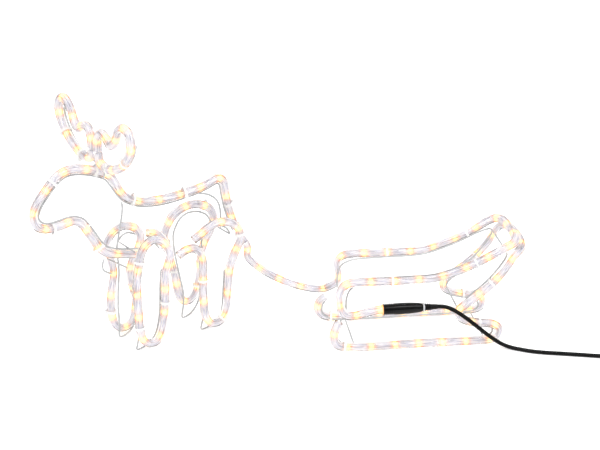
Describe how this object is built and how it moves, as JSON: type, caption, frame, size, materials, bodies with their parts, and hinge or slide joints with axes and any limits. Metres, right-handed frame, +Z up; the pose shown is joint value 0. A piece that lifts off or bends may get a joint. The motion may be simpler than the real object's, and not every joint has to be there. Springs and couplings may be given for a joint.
{
  "type": "light up yard reindeer with sleigh",
  "caption": "Rope light reindeer on a bent wire frame, towing an open sleigh by a flexible rope, with a plug-in power lead.",
  "frame": {"origin": "centre of the base of the reindeer and sleigh, on the ground they stand on", "axes": "+Z up, -X the way the sleigh faces and travels, +Y the side away from the power connector"},
  "size_m": [0.934, 0.2709, 0.3793],
  "materials": {
    "rope": "clear flexible PVC, gloss",
    "frame_wire": "light grey coated steel, satin",
    "led": "warm white LED",
    "tie": "clear nylon, satin",
    "end_cap": "clear PVC, gloss",
    "connector": "black moulded plastic, satin",
    "contact": "plain brass",
    "seal": "light grey rubber",
    "relief": "black rubber, matt",
    "lead": "black rubber sheath, matt",
    "lead_tie": "black nylon",
    "plug": "black moulded plastic, satin",
    "plug_pin": "nickel plated"
  },
  "bodies": {
    "reindeer": {"head_rope": "rope", "back_rope": "rope", "rump_rope": "rope", "chest_rope": "rope", "front_leg_rope_near": "rope", "front_leg_rope_far": "rope", "hind_leg_rope_near": "rope", "hind_leg_rope_far": "rope", "antler_rope_near": "rope", "antler_rope_far": "rope", "rope_end_cap": "end_cap", "head_wire": "frame_wire", "back_wire": "frame_wire", "chest_wire": "frame_wire", "neck_brace": "frame_wire", "rump_brace": "frame_wire", "chest_struts": "frame_wire", "front_cross_wire": "frame_wire", "hind_cross_wire": "frame_wire", "front_leg_wire_near": "frame_wire", "front_leg_wire_far": "frame_wire", "hind_leg_wire_near": "frame_wire", "hind_leg_wire_far": "frame_wire", "antler_wire_near": "frame_wire", "antler_wire_far": "frame_wire", "reindeer_leds": "led", "reindeer_ties": "tie"},
    "tow": {"tow_rope": "rope", "tow_leds": "led"},
    "sleigh": {"front_rope_near": "rope", "front_rope_far": "rope", "rail_rope_near": "rope", "rail_rope_far": "rope", "back_edge_rope_near": "rope", "back_edge_rope_far": "rope", "heel_rope_near": "rope", "heel_rope_far": "rope", "runner_rope_near": "rope", "runner_rope_far": "rope", "rear_cross_rope_upper": "rope", "rear_cross_rope_lower": "rope", "side_wire_near": "frame_wire", "side_wire_far": "frame_wire", "runner_wire_near": "frame_wire", "runner_wire_far": "frame_wire", "sleigh_cross_wires": "frame_wire", "sleigh_leds": "led", "sleigh_ties": "tie", "connector_body": "connector", "contact_pins": "contact", "connector_seal": "seal", "strain_relief": "relief", "power_lead": "lead", "lead_coil": "lead", "lead_tail": "lead", "coil_tie": "lead_tie", "plug_body": "plug", "plug_pins": "plug_pin"}
  },
  "joints": [
    {"name": "tow_rear_swing", "type": "hinge", "parent": "sleigh", "child": "tow", "pos_m": [0.0525, 0.0522, 0.0503], "axis": [0, 0, 1], "range_deg": [-35, 35]},
    {"name": "tow_front_swing", "type": "hinge", "parent": "tow", "child": "reindeer", "pos_m": [-0.0439, 0.0984, 0.098], "axis": [0, 0, 1], "range_deg": [-35, 35]}
  ]
}
